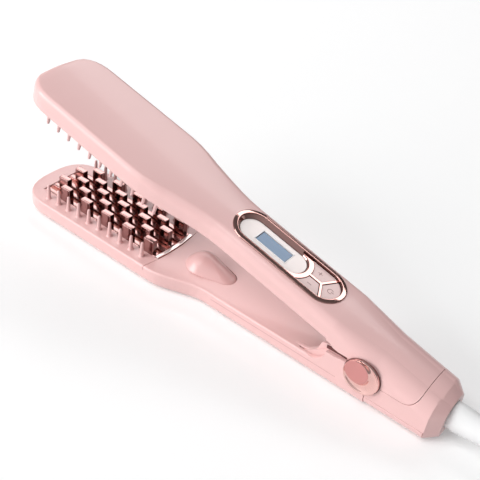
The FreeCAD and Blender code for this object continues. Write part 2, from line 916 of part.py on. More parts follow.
def make_tail_cap():
    cap = tail_solid().common(tail_region(seam_gap)).cut(tail_cavity()).cut(relief_bore())
    half = handle_half - tail_wall
    low = lever_bottom + under_cover_height
    for x in tail_screw_places:
        web = block(x - tail_web_length / 2, x + tail_web_length / 2, -half, half, low, low + tail_web_height)
        cap = cap.fuse(web.cut(screw_hole(x, 0, lever_bottom)))
    return cap.cut(round_bar(lobe_radius + seam_gap, -wide, wide))


def make_tail_under_cover():
    low = lever_bottom
    high = lever_bottom + under_cover_height - seam_gap
    bevel = tail_reach - tail_chamfer_length - seam_gap
    slab = tail_solid().common(block(tail_skirt_start, bevel, -wide, wide, low, high))
    rear_bore = relief_bore().common(block(tail_reach - tail_end_wall, tail_reach, -wide, wide, -tall, tall))
    cover = slab.cut(tail_cavity()).cut(rear_bore)
    for x in tail_screw_places:
        cover = cover.fuse(pillar(x, 0, low, high, screw_head_radius + screw_boss_wall))
        cover = cover.cut(screw_hole(x, 0, low))
    return cover


def make_strain_relief():
    wall = tail_reach - tail_end_wall
    flange_end = wall - relief_flange_gap
    flange_start = flange_end - relief_flange_length
    tip = tail_reach + relief_length
    profile = [
        (flange_start, 0), (flange_start, relief_flange_radius), (flange_end, relief_flange_radius),
        (flange_end, relief_radius), (tail_reach + relief_collar_length, relief_radius),
        (tip, relief_end_radius), (tip, 0),
    ]
    wire = polygon([Vector(x, 0, r) for x, r in profile])
    sleeve = Part.Face(wire).revolve(Vector(0, 0, 0), Vector(1, 0, 0), 360)
    sleeve.translate(Vector(0, 0, relief_axis_height))
    return sleeve


def make_swivel_collar():
    radius = relief_axis_height - lever_bottom - tail_wall - running_fit
    base = Vector(swivel_collar_start, 0, relief_axis_height)
    ring = Part.makeCylinder(radius, swivel_collar_length, base, Vector(1, 0, 0))
    return ring.cut(Part.makeCylinder(swivel_collar_bore, swivel_collar_length, base, Vector(1, 0, 0)))


def make_hinge_cap(side):
    base = side * (handle_half + cap_lift)
    face = side * (handle_half + cap_height)
    axis = Vector(0, 1, 0)
    shift = Vector(-cap_face_shift_share * cap_radius, face, cap_face_rise_share * cap_radius)
    foot = Part.Wire([Part.Circle(Vector(0, base, 0), axis, cap_radius).toShape()])
    rim = Part.Wire([Part.Circle(shift, axis, cap_face_radius).toShape()])
    cap = Part.makeLoft([foot, rim], True, True)
    edge = cap_face_radius - cap_dish
    dish_radius = (edge ** 2 + cap_dish ** 2) / (2 * cap_dish)
    centre = shift + Vector(0, side * (dish_radius - cap_dish), 0)
    cap = cap.cut(Part.makeSphere(dish_radius, centre))
    y0, y1 = sorted((side * handle_half, base))
    return cap.fuse(round_bar(lobe_radius - cap_lift, y0, y1))


def make_hinge_spring():
    """Torsion spring on the pin, wound from half-turn biarcs with a straight leg at each end."""
    r = hinge_pin_radius + spring_clearance + spring_wire_radius
    count = 2 * spring_turns
    start = -spring_pitch * spring_turns / 2
    rise = spring_pitch / (2 * math.pi * r)
    flat = 1 / math.sqrt(1 + rise ** 2)
    points = []
    tangents = []
    for k in range(count + 1):
        a = math.pi * k - math.pi / 2
        points.append(Vector(r * math.cos(a), start + spring_pitch * k / 2, r * math.sin(a)))
        tangents.append(Vector(-flat * math.sin(a), flat * rise, flat * math.cos(a)))
    edges = [line(points[0] - tangents[0] * spring_leg, points[0])]
    for k in range(count):
        edges += biarc(points[k], tangents[k], points[k + 1], tangents[k + 1])
    edges.append(line(points[-1], points[-1] + tangents[-1] * spring_leg))
    print("spring gap %.2f" % (spring_pitch - 2 * spring_wire_radius))
    return tube(Part.Wire(edges), spring_wire_radius)


def ear_plates():
    """Two ears that carry the lever on the hinge pin."""
    outer = handle_half - body_wall - side_gap
    low = lever_bottom + lever_wall
    shape = polygon([
        Vector(-ear_front, 0, low), Vector(-ear_front, 0, lever_face - lever_frame_depth),
        Vector(-ear_shoulder, 0, ear_top), Vector(0, 0, ear_top), Vector(0, 0, low),
    ])
    ears = []
    for side in (-1, 1):
        y0, y1 = sorted((side * outer, side * (outer - ear_thickness)))
        plate = Part.Face(shape).extrude(Vector(0, y1 - y0, 0))
        plate.translate(Vector(0, y0, 0))
        ear = plate.fuse(round_bar(ear_radius, y0, y1))
        seat_radius = hinge_pin_radius + bush_wall + pin_fit
        ears.append(ear.cut(round_bar(seat_radius, y0 - cut_overrun, y1 + cut_overrun)))
    return ears


def make_lever_cover():
    parting = lever_face - lever_frame_depth
    below = block(-lever_reach, lever_rear_end, -wide, wide, lever_bottom - cut_overrun, parting)
    tray = lever_loft(0.0, lever_face).common(below).cut(lever_loft(lever_wall, lever_face + cut_overrun))
    for x in lever_screw_places:
        tray = tray.fuse(pillar(-x, 0, lever_bottom, parting, screw_head_radius + screw_boss_wall))
        tray = tray.cut(screw_hole(-x, 0, lever_bottom))
    return tray.multiFuse(ear_plates())


def lever_top_slab():
    parting = lever_face - lever_frame_depth
    above = block(-lever_reach - cut_overrun, lever_rear_end, -wide, wide, parting, lever_face + cut_overrun)
    return lever_loft(0.0, lever_face).common(above)


def make_lower_comb_frame():
    slab = lever_top_slab().common(ahead_of_seam(-plate_rear - seam_gap, -tall, tall))
    window = block(-plate_front, 0, -plate_half_width, plate_half_width, -tall, tall)
    return slab.cut(window).multiFuse(pin_row(-lever_pin_start, lever_pin_count, lever_face, True))


def boss_outline(grow):
    """Egg-shaped outline of the raised oval, wide towards the head."""
    a = boss_front_width / 2 + grow
    b = boss_rear_width / 2 + grow
    x0 = -boss_start - grow + a
    x1 = boss_length - boss_start + grow - b
    lean = math.asin((a - b) / (x1 - x0))
    sx = math.sin(lean)
    cx = math.cos(lean)
    p = [
        Vector(x0 + a * sx, a * cx, 0), Vector(x1 + b * sx, b * cx, 0),
        Vector(x1 + b * sx, -b * cx, 0), Vector(x0 + a * sx, -a * cx, 0),
    ]
    return Part.Wire([
        line(p[0], p[1]), arc(p[1], Vector(x1 + b, 0, 0), p[2]),
        line(p[2], p[3]), arc(p[3], Vector(x0 - a, 0, 0), p[0]),
    ])


def make_boss_cover():
    foot = boss_outline(-boss_fit)
    top = boss_outline(-boss_top_share * boss_front_width / 2)
    seat = plan_prism(foot, lever_face - boss_seat_depth, lever_face)
    foot.translate(Vector(0, 0, lever_face))
    top.translate(Vector(0, 0, lever_face + boss_height))
    return seat.fuse(Part.makeLoft([foot, top], True, True))


def hinge_cheeks():
    """Flush side walls of the lever under the slot, round the lobe of the body."""
    low = lever_face - lever_frame_depth
    a = Vector(-cheek_front, 0, lever_face)
    b = Vector(-cheek_rise_start, 0, cheek_top)
    bend = Vector(a.x + (b.x - a.x) * cheek_bend_shares[0], 0, a.z + (b.z - a.z) * cheek_bend_shares[1])
    p = [
        b, Vector(-cheek_step_start, 0, cheek_top), Vector(-cheek_step_end, 0, cheek_rear_top),
        Vector(lever_rear_end, 0, cheek_rear_top), Vector(lever_rear_end, 0, low),
        Vector(-cheek_front, 0, low), a,
    ]
    wire = Part.Wire([arc(a, bend, b)] + [line(p[k], p[k + 1]) for k in range(len(p) - 1)])
    cheek = Part.Face(wire).extrude(Vector(0, body_wall, 0))
    cheek = cheek.cut(round_bar(lobe_radius + side_gap, -wide, wide))
    cheeks = []
    for y in (-handle_half, handle_half - body_wall):
        copy = cheek.copy()
        copy.translate(Vector(0, y, 0))
        cheeks.append(copy)
    return cheeks


def make_lever_inner_cover():
    cover = lever_top_slab().cut(ahead_of_seam(-plate_rear, -tall, tall))
    cover = cover.cut(plan_prism(boss_outline(0.0), lever_face - boss_seat_depth, tall))
    end = -lobe_radius - ear_thickness
    cover = cover.cut(block(end, wide, -wide, wide, -tall, tall))
    outer = handle_half - body_wall - side_gap + seam_gap
    inner = outer - ear_thickness - 2 * seam_gap
    for side in (-1, 1):
        y0, y1 = sorted((side * inner, side * outer))
        cover = cover.cut(block(-ear_front - seam_gap, wide, y0, y1, -tall, tall))
    for x in lever_screw_places:
        cover = cover.cut(screw_hole(-x, 0, lever_bottom))
    return cover.multiFuse(hinge_cheeks())


def make_bushes():
    outer = handle_half - body_wall - side_gap
    rings = []
    for side in (-1, 1):
        y0, y1 = sorted((side * outer, side * (outer - ear_thickness)))
        ring = round_bar(hinge_pin_radius + bush_wall, y0, y1)
        rings.append(ring.cut(round_bar(hinge_pin_radius + running_fit, y0, y1)))
    return Part.makeCompound(rings)


def make_screws(places):
    return Part.makeCompound([screw(x, 0, lever_bottom) for x in places])


def hank_run_share():
    """Share of each half turn that is run, and not fold."""
    fold = math.pi * (hank_inner_radius + hank_turn_pitch / 2)
    return hank_run / (hank_run + fold)


def hank_point(turn, left, floor):
    """Middle line of the hank: in and out by turns, with a climb along a run between the layers."""
    layer, part = divmod(turn, 1 + hank_climb_share)
    part = min(part, 1 + hank_climb_share)
    share = max(0.0, (part - 1) / hank_climb_share)
    dip = hank_turn_pitch * hank_climb_share / math.pi * math.sin(math.pi * share)
    inward = hank_turn_pitch * min(part, 1.0) + dip
    if layer % 2:
        inward = hank_turn_pitch - inward
    r = hank_inner_radius + hank_turn_pitch - inward
    run = hank_run_share()
    z = floor + hank_layer_step * (layer + ease(share / run))
    half, u = divmod(2 * turn, 1)
    side = 1 if half % 2 else -1
    if u < run:
        s = u / run
        x = hank_run / 2 + side * hank_run * (0.5 - s)
        y = side * r * (1 - hank_waist_share * ease(1 - abs(2 * s - 1)))
    else:
        a = math.pi * (u - run) / (1 - run)
        x = hank_run / 2 - side * (hank_run / 2 + r * math.sin(a))
        y = side * r * math.cos(a)
    return Vector(left + x, y, z)


def make_hank():
    """The put-away length: loops from biarcs, then down into the hollow to the plug."""
    start = Vector(*cord_route[-1])
    left = start.x + hank_start_run
    run = hank_run_share()
    total = (1 + hank_climb_share) * (hank_layers - 1)
    knots = []
    for half in range(int(round(2 * total))):
        knots += [(half + u) / 2 for u in (0.0, run / 2, run, (1 + run) / 2)]
    knots.append(total)
    points = [hank_point(turn, left, start.z) for turn in knots]
    tangents = []
    for turn in knots:
        ahead = hank_point(turn + hank_small_share, left, start.z)
        behind = hank_point(max(turn - hank_small_share, 0.0), left, start.z)
        tangents.append((ahead - behind).normalize())
    tangents[0] = Vector(1, 0, 0)
    tangents[-1] = Vector(-1, 0, 0)
    edges = [line(start, points[0])]
    for k in range(len(knots) - 1):
        edges += biarc(points[k], tangents[k], points[k + 1], tangents[k + 1])
    back = Vector(-1, 0, 0)
    turn_in = points[-1] + back * hank_end_run
    turn_out = Vector(turn_in.x - hank_drop_run, 0, plug_thickness / 2)
    last = turn_out + back * hank_end_run
    edges.append(line(points[-1], turn_in))
    edges += biarc(turn_in, back, turn_out, back)
    edges.append(line(turn_out, last))
    path = Part.Wire(edges)
    samples = path.discretize(Number=hank_gap_samples)
    print("hank gap %.2f" % least_gap(samples, cord_radius, int(hank_gap_samples / (4 * total))))
    return tube(path, cord_radius), last


def round_along_x(box, radius):
    """Box with its four edges along X rounded."""
    long_edges = [e for e in box.Edges if abs(e.tangentAt(e.FirstParameter).x) > 0.5]
    return box.makeFillet(radius, long_edges)


def make_hank_tie():
    """Flat band round all layers of the hank at its waist."""
    start = Vector(*cord_route[-1])
    middle = start.x + hank_start_run + hank_run / 2
    dip = hank_turn_pitch * hank_climb_share / math.pi
    widest = (hank_inner_radius + hank_turn_pitch + dip) * (1 - hank_waist_share) + cord_radius + tie_gap
    low = start.z - cord_radius - tie_gap
    high = start.z + hank_layer_step * (hank_layers - 1 - hank_climb_share) + cord_radius + tie_top_gap
    t = tie_thickness
    x0 = middle - tie_width / 2
    x1 = middle + tie_width / 2
    band = block(x0, x1, -widest - t, widest + t, low - t, high + t)
    room = block(x0 - t, x1 + t, -widest, widest, low, high)
    return round_along_x(band, tie_round).cut(round_along_x(room, tie_round - t))


def plug_blades(end):
    """The two flat contact blades of the plug, on either side of the cord's axis."""
    face = end.x - plug_neck_length - plug_length
    blades = []
    for side in (-plug_blade_spacing / 2, plug_blade_spacing / 2):
        y0 = end.y + side - plug_blade_thickness / 2
        z0 = end.z - plug_blade_width / 2
        blades.append(block(face - plug_blade_length, face + plug_blade_seat, y0, y0 + plug_blade_thickness,
                            z0, z0 + plug_blade_width))
    return blades


def make_plug(end):
    """Two-pin plug lying flat in the hank's hollow, drawn in towards its neck."""
    neck = end.x - plug_neck_length
    face = neck - plug_length
    waist = face + plug_waist_share * plug_length
    half = plug_width / 2
    low = end.z * plug_taper_share
    sections = []
    for x, width, drop in ((face, half, 0), (waist, half, 0), (neck, half * plug_taper_share, low)):
        section = cross_section(x, width, drop, plug_thickness - plug_crown - drop,
                                plug_corner_round, plug_corner_round, plug_crown)
        section.translate(Vector(0, end.y, 0))
        sections.append(section)
    body = Part.makeLoft(sections, True, True)
    sleeve = Part.makeCone(plug_neck_radius, plug_neck_end_radius, plug_neck_length,
                           Vector(neck, end.y, end.z), Vector(1, 0, 0))
    return body.fuse(sleeve).cut(Part.makeCompound(plug_blades(end)))



pieces = {}
pieces["top_cover"] = make_top_cover()
pieces["upper_comb_frame"] = make_upper_comb_frame()
pieces["handle_under_cover"] = make_handle_under_cover()
upper_plate = grid_plate(1, False)
upper_plate.translate(Vector(0, 0, body_face))
pieces["upper_heat_plate"] = tilt(upper_plate)
for name, piece in zip(("upper_heater", "upper_heater_clamp", "upper_thermal_fuse"), heater_set(False)):
    piece.translate(Vector(0, 0, body_face))
    pieces[name] = tilt(piece)
pieces["display_bezel"] = make_display_bezel()
pieces["display_panel"] = make_display_panel()
pieces["lcd_module"] = make_lcd_module()
for name, cell in zip(("button_minus", "button_plus", "button_power"), button_cells(button_gap)):
    pieces[name] = tilt(cell)
pieces["main_board"] = make_board()
pieces["switches"] = make_switches()
pieces["board_triac"], pieces["board_capacitor"], pieces["board_terminal"] = make_board_parts()
pieces["tail_cap"] = make_tail_cap()
pieces["tail_under_cover"] = make_tail_under_cover()
pieces["tail_screws"] = make_screws(tail_screw_places)
pieces["strain_relief"] = make_strain_relief()
pieces["swivel_collar"] = make_swivel_collar()
pieces["hinge_pin"] = round_bar(hinge_pin_radius, -handle_half, handle_half)
pieces["hinge_cap_left"] = make_hinge_cap(-1)
pieces["hinge_cap_right"] = make_hinge_cap(1)
pieces["hinge_spring"] = make_hinge_spring()
pieces["lever_cover"] = make_lever_cover()
pieces["lower_comb_frame"] = make_lower_comb_frame()
pieces["lever_inner_cover"] = make_lever_inner_cover()
pieces["boss_cover"] = make_boss_cover()
lower_plate = grid_plate(0, True)
lower_plate.translate(Vector(0, 0, lever_face))
pieces["lower_heat_plate"] = lower_plate
for name, piece in zip(("lower_heater", "lower_heater_clamp", "lower_thermal_fuse"), heater_set(True)):
    piece.translate(Vector(0, 0, lever_face))
    pieces[name] = piece
pieces["hinge_bushes"] = make_bushes()
pieces["lever_screws"] = make_screws([-x for x in lever_screw_places])
upper_lead_start = body_face + body_frame_depth + plate_flange_thickness + heater_thickness / 2
board_middle = board_bottom + board_thickness / 2
pieces["upper_heater_leads"] = tilt(make_leads(upper_lead_start, board_middle, -board_start))
lower_lead_start = lever_face - lever_frame_depth - plate_flange_thickness - heater_thickness / 2
lower_lead_end = lower_lead_start - lead_drop
pieces["lower_heater_leads"] = make_leads(lower_lead_start, lower_lead_end, -lobe_radius - ear_thickness)
for name, shape in pieces.items():
    shape.translate(hinge_place)

# The cord and what is on it are placed in the part's own frame.
pieces["cord_lead"] = tube(rounded_path([Vector(*p) for p in cord_route]), cord_radius)
pieces["cord_coil"], cord_end = make_hank()
pieces["coil_tie"] = make_hank_tie()
pieces["plug"] = make_plug(cord_end)
pieces["plug_pins"] = Part.makeCompound(plug_blades(cord_end))

for name, shape in pieces.items():
    shape.exportStep("parts/%s.step" % name)
    print(name, shape.isValid(), len(shape.Solids), "%.1f" % shape.Volume)
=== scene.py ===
import bmesh
import bpy
import json
import math
from mathutils import Matrix, Vector


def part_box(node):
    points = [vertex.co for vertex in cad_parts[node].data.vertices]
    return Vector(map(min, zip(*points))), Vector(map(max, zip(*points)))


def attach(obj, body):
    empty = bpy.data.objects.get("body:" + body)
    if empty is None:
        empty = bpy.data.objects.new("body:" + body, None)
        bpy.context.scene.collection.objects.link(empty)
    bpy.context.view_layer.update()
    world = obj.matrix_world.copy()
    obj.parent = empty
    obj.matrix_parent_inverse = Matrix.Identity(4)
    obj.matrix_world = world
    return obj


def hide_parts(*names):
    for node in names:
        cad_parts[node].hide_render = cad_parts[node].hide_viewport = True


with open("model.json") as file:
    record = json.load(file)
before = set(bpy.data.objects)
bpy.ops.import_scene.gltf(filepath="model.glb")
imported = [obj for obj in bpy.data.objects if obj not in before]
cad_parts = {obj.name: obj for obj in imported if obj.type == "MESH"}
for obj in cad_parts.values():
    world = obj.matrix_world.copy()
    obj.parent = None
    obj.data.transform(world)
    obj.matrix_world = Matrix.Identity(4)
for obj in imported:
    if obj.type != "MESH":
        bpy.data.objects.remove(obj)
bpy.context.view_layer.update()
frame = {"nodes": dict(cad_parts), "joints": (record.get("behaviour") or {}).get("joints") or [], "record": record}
nodes = frame["nodes"]

# The arms are drawn in millimetres from the hinge axis, and their frames take them into metres
millimetre = 0.001
joints = {joint["name"]: joint for joint in frame["joints"]}
hinge_place = Vector(joints["lever_hinge"]["pos_m"])
press_axis = joints["power_press"]["axis"]
open_angle = math.atan2(-press_axis[0], -press_axis[2])
lever_frame = Matrix.Translation(hinge_place) @ Matrix.Scale(millimetre, 4)
body_frame = lever_frame @ Matrix.Rotation(open_angle, 4, "Y")

# Each arm's frame, the height of its inner face in millimetres and the way that the face looks
arms = {"lever": (lever_frame, -7.4, 1), "body": (body_frame, 2.7, -1)}

# Camera, in metres, degrees and millimetres of lens
camera_place = Vector((0.1909, -0.2962, 0.3109))
camera_yaw = math.radians(32.2)
camera_pitch = math.radians(37.79)
camera_roll = math.radians(8.84)
camera_lens = 65.04
camera_sensor = 36.0
camera_nearest = 0.01

# World: its colour, its strength before and behind the comb, and the share of it on the cord's side
world_colour = (0.93, 0.93, 0.94, 1)
world_front = 0.72
world_rear = 0.1
world_right_share = 0.62

# Floor: half its size in metres, and how far it is lifted towards white where it is seen
floor_half_size = 6.0
floor_lift = 0.2

# Lamps, in metres and watts: name, place, aim, size and power
lamps = [
    ("key", (-1.58, -2.1, 1.05), (0, 0, 0.03), (1.8, 1.2), 51),
    ("top", (-0.6, -0.8, 1.9), (0, 0, 0.03), (1.2, 1.2), 17),
    ("back", (-0.5, 1.02, 1.01), (-0.5, 0, 0.04), (1.6, 0.3), 6.0),
]

# Patterns of the finishes: how fine their clouds and grain are, and the height of the grain in metres
cloud_scale = 60.0
grain_scale = 900.0
pattern_detail = 3.0
moulded_grain = 0.00002
polished_grain = 0.000003

# Cord, in metres: the free run from the strain relief, then a tied hank in four layers
cord_route = [
    (0.1789, 0.0, 0.0111), (0.192, 0.0, 0.0111), (0.207, -0.004, 0.0065), (0.221, -0.013, 0.004),
    (0.235, -0.0225, 0.004), (0.249, -0.0259, 0.004), (0.258, -0.0259, 0.004),
]
cord_diameter = 0.006
hank_left = 0.264
hank_run = 0.112
hank_inner_radius = 0.018
hank_turn_pitch = 0.0079
hank_layer_step = 0.0067
hank_layers = 4
hank_climb_turns = 0.5
hank_waist_share = 0.08
hank_points_per_turn = 48
hank_tail = [
    (0.370, 0.018, 0.0241), (0.352, 0.016, 0.0222), (0.336, 0.002, 0.0094), (0.318, 0.0, 0.0075),
    (0.312, 0.0, 0.0075),
]

# Edges: what is merged in metres, the angles of flat, hard, corner and sharp edges, and steps of rounding
merge_distance = 0.000004
flat_angle = math.radians(0.4)
hard_angle = math.radians(25)
corner_angle = math.radians(60)
sharp_angle = math.radians(50)
edge_segments = 2
sweep_steps = 24

# Solids shown with softened edges: node, body, slot and edge width in millimetres
softened = [
    ("display_bezel", "body", "rose_trim", 0.22),
    ("display_panel", "body", "ivory_panel", 0.2),
    ("button_minus", "minus_key", "button_pink", 0.3),
    ("button_plus", "plus_key", "button_pink", 0.3),
    ("button_power", "power_key", "button_pink", 0.3),
    ("tail_cap", "body", "pink_shell", 0.35),
    ("tail_under_cover", "body", "pink_shell", 0.3),
    ("lever_inner_cover", "lever", "pink_shell", 0.4),
]

# Faces of the display's ring that lean less than this towards the top get the trim's darker copy, which paints
# shade on the recess walls
wall_steepness = 0.5

# The tail's edge towards the lever, in millimetres: where it is and how far it is drawn forward
tail_edge = 4.4
tail_edge_reach = 0.38

# Grid plates, in millimetres from the hinge axis, drawn on an inner face that looks up
plate_front = 218.5
plate_rear = 128.65
plate_half_width = 14.4
plate_recess = 0.5
plate_depth = 2.4
plate_edge = 0.3
seam_sagitta = 3.0
seam_radius = 102.4
lip_width = 2.3
lip_rise = 0.8
lip_sink = 0.1
lip_flatness = 0.1
lip_steps = 8
# Depth of the lip's outer wall that takes the darker floor finish as painted shade
lip_shaded_wall = 0.2
row_count = 5
row_pitch = 6.37
rib_front_margin = 0.5
rib_height = 1.1
rib_root = 1.0
rib_edge = 0.5
tooth_start = 201.2
tooth_count = 5
tooth_length = 7.1
tooth_width = 3.6
tooth_height = 8.9
tooth_edge = 0.4

# Each grid plate: piece, node, body and which rows of teeth are set forward
plates = [
    ("lower_grid_plate", "lower_heat_plate", "lever", 0),
    ("upper_grid_plate", "upper_heat_plate", "body", 1),
]

# Comb pins, in millimetres: radius and height along a pin, and the places of the rows
pin_profile = [(0.0, -0.1), (2.0, -0.1), (1.75, 0.12), (1.42, 0.4), (1.24, 0.9), (1.17, 1.6), (0.84, 8.5),
               (0.78, 8.95), (0.6, 9.22), (0.3, 9.36), (0.0, 9.4)]
pin_sides = 16
pin_pitch = 8.0
pin_row_offset = 18.8

# Each arm's pins: piece, body, place of the first pin and pins in a row
pin_rows = [
    ("lower_pins", "lever", -209.8, 10),
    ("upper_pins", "body", -213.8, 11),
]

# Raised oval on the lever, in millimetres: place and radius of its round ends, height and depth of its foot
boss_ends = [(-109.4, 10.1), (-94.0, 5.75)]
boss_height = 8.6
boss_sink = 0.3

# Its form: height at the rear, place of the top, how far and how fast the rings shrink, and its roundness
boss_rear_share = 0.42
boss_top_share = 0.2
boss_shrink_share = 0.96
boss_shrink_power = 1.4
boss_round_power = 2.3
boss_rings = 14
boss_sides = 96

# Rounded rim of the display, in millimetres: its long oval, the handle's crowned top and the rim's profile
rim_centres = (-86.5, -41.9)
rim_radius = 11.8
rim_sides = 128
handle_top = 14.3
handle_crown = 0.7
handle_flat_half = 11.0
rim_profile = [(-0.2, -0.4), (-0.2, 0.12), (-0.1, 0.34), (0.12, 0.5), (0.35, 0.54), (0.7, 0.55), (1.8, 0.55),
               (2.15, 0.54), (2.34, 0.5), (2.46, 0.36), (2.5, 0.1), (2.5, -0.6)]
# First strip of the rim's inner wall, which takes the trim's darker copy as painted shade
rim_shade_strip = 9

# Hinge caps, in millimetres: the sides' plane, then radius, height and share of the face's shift of each ring
cap_plane = 16.2
cap_shift = (-2.45, 2.6)
cap_rings = [(8.4, 0.0, 0.0), (8.4, 0.3, 0.0), (10.1, 0.34, 0.0), (10.1, 0.45, 0.0), (9.72, 0.5, 0.0),
             (9.72, 1.45, 0.0), (9.58, 1.72, 0.0), (9.32, 1.74, 0.02), (8.95, 1.42, 0.1), (8.45, 0.95, 0.24),
             (7.85, 0.66, 0.45), (7.35, 0.76, 0.65), (6.95, 1.15, 0.8), (6.7, 1.75, 0.91), (6.52, 2.25, 0.98),
             (6.4, 2.5, 1.0), (6.1, 2.6, 1.0), (5.6, 2.57, 1.0), (4.0, 2.52, 1.0), (2.0, 2.44, 1.0),
             (0.4, 2.42, 1.0)]
cap_flank_strip = 4
cap_face_strip = 15
cap_sides = 72

# Each cap: piece, node, side, and its radius and height as shares of the near one's
caps = [
    ("hinge_disc_left", "hinge_cap_left", -1, 1.0, 1.0),
    ("hinge_disc_right", "hinge_cap_right", 1, 0.62, 0.35),
]

# Walls in front of the hinge ears, in millimetres in the side view and across
ear_wall_outline = [(-40, -10.2), (-40, -7.35), (-34, -7.0), (-29.6, -5.9), (-27.4, -4.0), (-26.4, -1.2),
                    (-25.8, 1.4), (-25.1, 2.6), (-23.6, 3.1), (-17, 4.3), (-12, 4.4), (-12, -10.2)]
ear_wall_sides = (11.0, 13.2)
ear_wall_edge = 0.35

# Dark strips of painted shade on the hinge cheeks, which make the slit above each cap look dark, in millimetres
slit_shade_outline = [(-22.0, 1.65), (-22.0, 3.6), (-10.5, 4.2), (-10.5, 2.0)]
slit_shade_sides = (13.8, 14.05)

# Parting lines along the lever's sides, in millimetres: their run, heights, side and depth
line_run = (-91.0, -13.0)
line_heights = (-10.55, -10.25)
line_side = 16.2
line_proud = 0.04
line_depth = 0.3

# Pale frame of the display window, in millimetres on the tilted handle
window_ends = (-83.0, -63.6)
window_half_width = 4.0
panel_top = 12.8
border_width = 0.55
border_sink = 0.2
border_rise = 0.1
border_edge = 0.06

# Marks on the keys, in millimetres: bars, and the power sign's open ring and stroke
key_top = 13.5
mark_sink = 0.1
mark_height = 0.06
mark_length = 2.6
mark_width = 0.36
mark_ring_radius = 1.45
mark_ring_gap = math.radians(70)
mark_stroke = (0.3, 2.05)
marks = [
    ("minus", "button_minus", "minus_key"),
    ("plus", "button_plus", "plus_key"),
    ("power", "button_power", "power_key"),
]

# Finishes: two close tones, the range of the roughness, then what differs from plain moulded plastic
finishes = {
    "pink_shell": dict(tones=((0.80, 0.505, 0.49), (0.82, 0.525, 0.51)), rough=(0.27, 0.35), coat=0.12),
    "rose_plate": dict(tones=((0.34, 0.20, 0.19), (0.315, 0.185, 0.175)), rough=(0.1, 0.16), metal=1.0,
                       grain=polished_grain),
    # Redder, rougher copy of the plate's metal: the plate's base, and painted shade on the lip's outer wall
    "rose_plate_floor_and_lip_shade": dict(tones=((0.62, 0.26, 0.225), (0.56, 0.23, 0.195)), rough=(0.3, 0.42), metal=1.0),
    "rose_lip": dict(tones=((0.96, 0.84, 0.81), (0.94, 0.82, 0.79)), rough=(0.14, 0.2), metal=0.25,
                     grain=polished_grain),
    # Near-black finish that paints shade: the slit above each hinge cap and the shadow gap round each cap
    "painted_shade_dark": dict(tones=((0.12, 0.035, 0.033), (0.15, 0.045, 0.042)), rough=(0.45, 0.6)),
    "rose_flank": dict(tones=((0.84, 0.53, 0.49), (0.80, 0.50, 0.46)), rough=(0.08, 0.13), metal=0.85,
                       grain=polished_grain),
    "parting_pink": dict(tones=((0.56, 0.30, 0.29), (0.60, 0.33, 0.32)), rough=(0.4, 0.5)),
    "window_edge": dict(tones=((0.92, 0.91, 0.92), (0.90, 0.89, 0.90)), rough=(0.2, 0.3)),
    "key_mark": dict(tones=((0.42, 0.26, 0.25), (0.46, 0.29, 0.28)), rough=(0.4, 0.5)),
    "rose_trim": dict(tones=((0.50, 0.29, 0.265), (0.47, 0.27, 0.245)), rough=(0.06, 0.1), metal=1.0,
                      grain=polished_grain),
    # Darker copy of the bright trim: painted shade on the inner walls of the display's recess
    "rose_trim_painted_shade": dict(tones=((0.20, 0.085, 0.075), (0.16, 0.07, 0.06)), rough=(0.1, 0.16), metal=1.0,
                           grain=polished_grain),
    "rose_cap": dict(tones=((0.64, 0.27, 0.255), (0.60, 0.25, 0.24)), rough=(0.28, 0.36), metal=0.4),
    "ivory_panel": dict(tones=((0.90, 0.79, 0.765), (0.88, 0.77, 0.745)), rough=(0.12, 0.18), coat=0.3),
    "lcd_glass": dict(tones=((0.04, 0.18, 0.36), (0.13, 0.20, 0.33)), rough=(0.14, 0.2), coat=0.15),
    "button_pink": dict(tones=((0.92, 0.69, 0.67), (0.90, 0.67, 0.65)), rough=(0.36, 0.44)),
    "heater_metal": dict(tones=((0.72, 0.72, 0.73), (0.66, 0.66, 0.67)), rough=(0.3, 0.42), metal=1.0),
    "steel": dict(tones=((0.58, 0.58, 0.59), (0.52, 0.52, 0.53)), rough=(0.25, 0.4), metal=1.0),
    "wire_sleeve": dict(tones=((0.78, 0.78, 0.76), (0.72, 0.72, 0.70)), rough=(0.55, 0.7)),
    "board_green": dict(tones=((0.03, 0.20, 0.09), (0.04, 0.26, 0.12)), rough=(0.35, 0.5)),
    "dark_plastic": dict(tones=((0.03, 0.03, 0.03), (0.05, 0.05, 0.05)), rough=(0.4, 0.55)),
    "terminal_plastic": dict(tones=((0.72, 0.71, 0.67), (0.68, 0.67, 0.63)), rough=(0.4, 0.5)),
    "bush_brass": dict(tones=((0.70, 0.50, 0.22), (0.64, 0.46, 0.20)), rough=(0.2, 0.35), metal=1.0),
    "white_cord": dict(tones=((0.86, 0.86, 0.86), (0.82, 0.82, 0.82)), rough=(0.42, 0.52)),
    "plug_metal": dict(tones=((0.70, 0.69, 0.66), (0.64, 0.63, 0.60)), rough=(0.18, 0.3), metal=1.0),
}
floor_finish = dict(tones=((0.80, 0.80, 0.80), (0.82, 0.82, 0.82)), rough=(0.7, 0.8))


def noise(tree, scale):
    """Cloudy pattern from 0 to 1 that is fixed to the piece."""
    place = tree.nodes.new("ShaderNodeTexCoord")
    texture = tree.nodes.new("ShaderNodeTexNoise")
    texture.inputs["Scale"].default_value = scale
    texture.inputs["Detail"].default_value = pattern_detail
    tree.links.new(place.outputs["Object"], texture.inputs["Vector"])
    return texture.outputs["Fac"]


def spread(tree, value, low, high, start=0.0):
    """Map a value that runs from start to 1 to a range."""
    ramp = tree.nodes.new("ShaderNodeMapRange")
    ramp.inputs["From Min"].default_value = start
    ramp.inputs["To Min"].default_value = low
    ramp.inputs["To Max"].default_value = high
    tree.links.new(value, ramp.inputs["Value"])
    return ramp.outputs["Result"]


